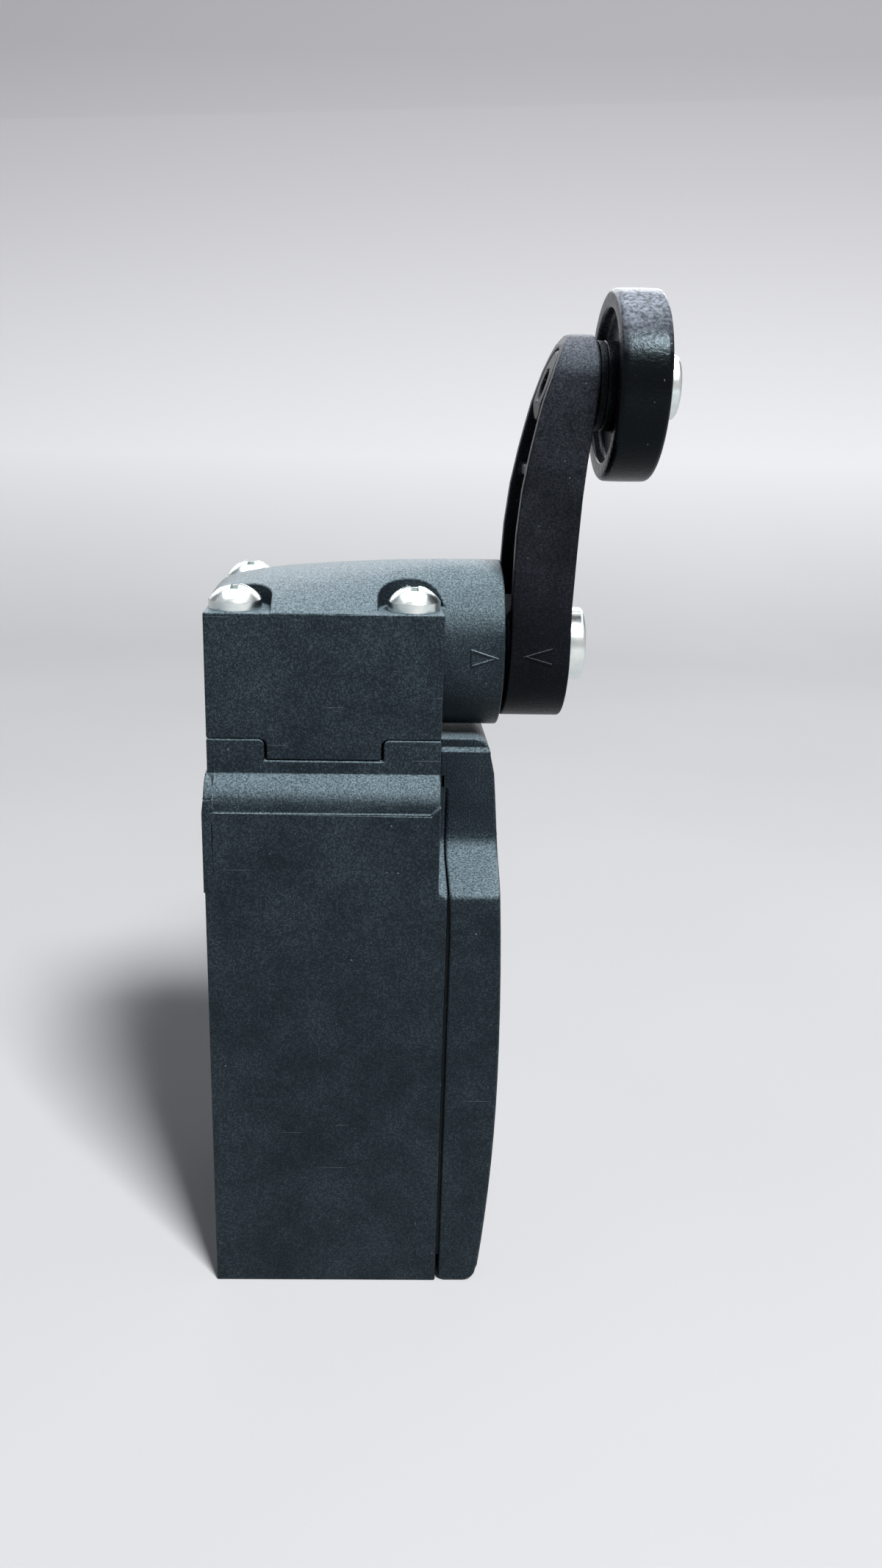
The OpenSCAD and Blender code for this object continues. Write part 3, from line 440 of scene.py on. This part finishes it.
def round_edges(name, radius_mm, cuts=(), reshape=None, keep=None, soften=None):
    """A copy of a solid whose edges sharper than 30 degrees get a small rounding.

    cuts are heights in millimetres where edges are added, reshape then moves the points, and keep tells
    which edges, by the middle point in millimetres, stay as they are; soften tells which get a wide
    rounding of 0.8 mm first. A true rounding lies within 0.3 of its radius of the sharp shape, so any
    point that strays further goes back onto that shape.
    """
    sharp_from, flat_below = math.radians(30), math.radians(0.1)
    wide_mm, furthest = 0.8, 0.4 * radius_mm * MM
    mesh = frame["nodes"][name].data.copy()
    shape = bmesh.new()
    shape.from_mesh(mesh)
    bmesh.ops.remove_doubles(shape, verts=shape.verts, dist=WELD)
    for height in cuts:
        everything = list(shape.verts) + list(shape.edges) + list(shape.faces)
        bmesh.ops.bisect_plane(shape, geom=everything, dist=1e-7, plane_co=(0, 0, height * MM), plane_no=(0, 0, 1))
    if reshape:
        moved = reshape(np.array([vertex.co for vertex in shape.verts]) / MM) * MM
        for vertex, place in zip(shape.verts, moved):
            vertex.co = place
        bmesh.ops.remove_doubles(shape, verts=shape.verts, dist=WELD)
    bmesh.ops.dissolve_degenerate(shape, dist=WELD, edges=shape.edges)
    bmesh.ops.dissolve_limit(shape, angle_limit=flat_below, verts=shape.verts, edges=shape.edges)

    def middle_mm(edge):
        return (edge.verts[0].co + edge.verts[1].co) / 2 / MM

    def bevel(edges, offset_mm, segments):
        bmesh.ops.bevel(shape, geom=edges, offset=offset_mm * MM, segments=segments, profile=0.5,
                        affect="EDGES", clamp_overlap=False)

    if soften:
        bevel([edge for edge in shape.edges if soften(middle_mm(edge))], wide_mm, 6)
    sharp = [edge for edge in shape.edges if edge.is_manifold and edge.calc_face_angle(0) > sharp_from
             and not (keep and keep(middle_mm(edge)))]
    before = BVHTree.FromBMesh(shape)
    bevel(sharp, radius_mm, 3)
    for vertex in shape.verts:
        nearest, _, _, distance = before.find_nearest(vertex.co)
        if distance > furthest:
            vertex.co = nearest
    shape.to_mesh(mesh)
    shape.free()
    shade_by_area(mesh)
    piece = bpy.data.objects.new(name + "_rounded", mesh)
    bpy.context.collection.objects.link(piece)
    take_place(piece, name)


def let_compress(name):
    """A copy of an upright spring that takes the spring's place on its body, with its finish."""
    piece = bpy.data.objects.new(name + "_coil", frame["nodes"][name].data.copy())
    bpy.context.collection.objects.link(piece)
    take_place(piece, name)
    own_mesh(piece)


# -- Where the moulded shapes leave the solids by a little; all in millimetres -----------------


def along_x(shift):
    """Moves of the points along X alone."""
    return np.column_stack([shift, np.zeros((len(shift), 2))])


def blend_back_pad(points):
    """Draws the top edge of the case's back pad in, onto the round of the shoulder."""
    pad_top, pad_front, pad_back, pad_side = 61.6, -11.8, -13, 15.2
    round_back, round_side = -12.92, 15.08
    x, y, z = points.T
    top = (abs(z - pad_top) < 0.03) & (x < pad_front) & ((x < pad_back) | (abs(y) > pad_side))
    drawn = np.column_stack([np.maximum(x, round_back), np.clip(y, -round_side, round_side), z])
    return np.where(top[:, None], drawn, points)


def flatten_tip_back(points):
    """Moves the lever's back forward near the tip, where it runs straighter than a round boss.

    The shift follows a curve over the height, up to 0.6 mm, and takes in what lies within 1.2 mm of the
    back's own curve.
    """
    heights = [90, 95.5, 99.5, 104.5, 107.4, 108.6, 109.8]
    back = [20.3, 20.85, 21.5, 22.7, 23.9, 24.6, 26.3]
    shift = np.interp(points[:, 2], heights, [0, 0.2, 0.4, 0.6, 0.5, 0.3, 0])
    near_back = points[:, 0] < np.interp(points[:, 2], heights, back) + 1.2
    return points + along_x(shift * near_back)


def close_neck_gap(points):
    """Slants the cover's back plane so that its gap closes towards the neck, and above the case's
    shoulder brings the neck back to the collar.

    The shift grows in a straight line from none at 46 mm to 0.27 mm at 54 mm, and is 1.2 mm above 60.4 mm.
    """
    back_plane, slant_foot, slant_top, slant, shoulder, neck_shift = 14.05, 46, 54, 0.27, 60.4, 1.2
    shift = np.clip((points[:, 2] - slant_foot) / (slant_top - slant_foot), 0, 1) * slant
    shift = np.where(points[:, 2] > shoulder, neck_shift, shift)
    return points - along_x(shift * (abs(points[:, 0] - back_plane) < 0.02))


# The head's front plane, the height of the shaft's axis, the radius of the boss's first circle, and the
# height above which the roof runs into the boss
HEAD_FRONT, SHAFT_Z, BOSS_R, ROOF_FOOT = 12.675, 76.15, 9.4, 81.4


def close_boss_seam(points):
    """Brings the roof's last arch and the boss's first circle together, so that no step shows.

    Points within 0.1 mm of the head's front plane, above its sides and near the boss radius are put on
    that plane at that radius about the shaft's axis.
    """
    y, z = points[:, 1], points[:, 2] - SHAFT_Z
    reach = np.hypot(y, z)
    near = (abs(points[:, 0] - HEAD_FRONT) < 0.1) & (points[:, 2] > ROOF_FOOT) & (abs(reach - BOSS_R) < 0.12)
    scale = BOSS_R / np.maximum(reach, 1e-9)
    moved = np.column_stack([np.full(len(points), HEAD_FRONT), y * scale, SHAFT_Z + z * scale])
    return np.where(near[:, None], moved, points)


def on_fine_relief(point):
    """Tells whether a point lies on the roof's ring into the boss, or on one of the raised marks."""
    from_axis = math.hypot(point.y, point.z - SHAFT_Z)
    on_ring = abs(point.x - 12.65) < 0.15 and point.z > ROOF_FOOT and abs(from_axis - BOSS_R) < 0.3
    at_marks = abs(point.z - SHAFT_Z) < 2.5 and point.y < -8
    on_boss_mark, on_lever_mark = 13.2 < point.x < 19.2, 20.6 < point.x < 26
    return on_ring or (at_marks and (on_boss_mark or on_lever_mark))


def on_ledge_rim(point):
    """Tells whether a point lies on the outer rim of the ledge where the cover and the case narrow."""
    ledge_z, half_width, case_front = 51, 15.5, 12.7
    return (abs(point.z - ledge_z) < 0.02 and abs(abs(point.y) - half_width) < 0.02
            and point.x > case_front)


# -- Turned pieces ----------------------------------------------------------------------------


def lathe(name, profile, centre, turns=160):
    """A closed ring about an axis along X: each (along, radius) of the profile is turned round it.

    Point (i, j) lies at x = centre x + along_i and at radius_i from the axis, at the angle 2 pi j / turns.
    """
    profile = np.array(profile) * MM
    angle = np.arange(turns) * 2 * np.pi / turns
    x = centre[0] * MM + np.repeat(profile[:, 0], turns)
    y = centre[1] * MM + np.outer(profile[:, 1], np.cos(angle)).ravel()
    z = centre[2] * MM + np.outer(profile[:, 1], np.sin(angle)).ravel()
    quads = np.column_stack(grid_faces(len(profile), turns, closed=True))
    mesh = bpy.data.meshes.new(name)
    mesh.from_pydata(np.column_stack([x, y, z]).tolist(), [], quads.tolist())
    mesh.shade_smooth()
    piece = bpy.data.objects.new(name, mesh)
    bpy.context.collection.objects.link(piece)
    return piece


def rounded(corners, steps=5):
    """The closed outline of (x, r, radius) corners, each turned into an arc of its radius.

    The arc's centre lies on the corner's bisector, at the radius over the sine of the half angle. Its
    points run between the two touching points in equal angles. A corner of radius 0 stays a point.
    """
    straight = 0.01
    outline = []
    for k, (x, r, radius) in enumerate(corners):
        here = np.array((x, r))
        neighbours = corners[k - 1], corners[(k + 1) % len(corners)]
        back, ahead = (np.array(other[:2]) - here for other in neighbours)
        back, ahead = back / np.hypot(*back), ahead / np.hypot(*ahead)
        half = math.acos(np.clip(back @ ahead, -1, 1)) / 2
        turn = math.pi - 2 * half
        if radius == 0 or turn < straight:
            outline.append(here)
            continue
        centre = here + (back + ahead) / np.hypot(*(back + ahead)) * radius / math.sin(half)
        start, end = (here + side * radius / math.tan(half) - centre for side in (back, ahead))
        for t in np.linspace(0, 1, steps + 1):
            swept = start * math.sin((1 - t) * turn) + end * math.sin(t * turn)
            outline.append(centre + swept / math.sin(turn))
    return outline


def add_roller():
    """The roller: a crowned tread, rounded rims, a recess on each side and a bored hub.

    The tread's radius falls from its middle by the crown times the square of the distance from the
    middle, in half widths. The hub stands out behind the tread towards the lever.
    """
    low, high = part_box("roller")
    centre_y, centre_z = ((low[axis] + high[axis]) / 2 / MM for axis in (1, 2))
    boss, recess, rim, hub, bore, crown, shoulder = 0.35, 1.3, 2.0, 4.7, 2.55, 0.05, 0.9
    outer = (high[2] - low[2]) / 2 / MM
    width = (high[0] - low[0]) / MM - boss
    tread = [(x, outer - crown * (2 * x / width - 1) ** 2, 0)
             for x in np.linspace(shoulder, width - shoulder, 7)]
    side = [(-boss, bore, 0.1), (-boss, hub, 0.12), (recess, hub, 0.3), (recess, outer - rim, 0.5),
            (0, outer - rim, 0.3), (0, outer - crown, 0.6)]
    far_side = [(width, outer - crown, 0.6), (width, outer - rim, 0.3), (width - recess, outer - rim, 0.5),
                (width - recess, hub, 0.3), (width, hub, 0.12), (width, bore, 0.1)]
    profile = rounded(side + tread + far_side)
    take_place(lathe("roller_turned", profile, (low[0] / MM + boss, centre_y, centre_z)), "roller")


# -- The switch and its scene -------------------------------------------------------------------

bpy.context.scene.view_settings.view_transform = "Standard"
dress_solids()
round_edges("case", 0.2, cuts=(60.2,), reshape=blend_back_pad, soften=on_ledge_rim)
round_edges("cover", 0.35, cuts=(44, 46, 54, 60.35, 60.45), reshape=close_neck_gap, soften=on_ledge_rim)
round_edges("head_housing", 0.2, reshape=close_boss_seam, keep=on_fine_relief)
round_edges("lever_arm", 0.25, reshape=flatten_tip_back, keep=on_fine_relief)
add_roller()
let_compress("return_spring")
let_compress("carrier_spring")
add_camera()
add_lamps()
add_room()
add_sweep()
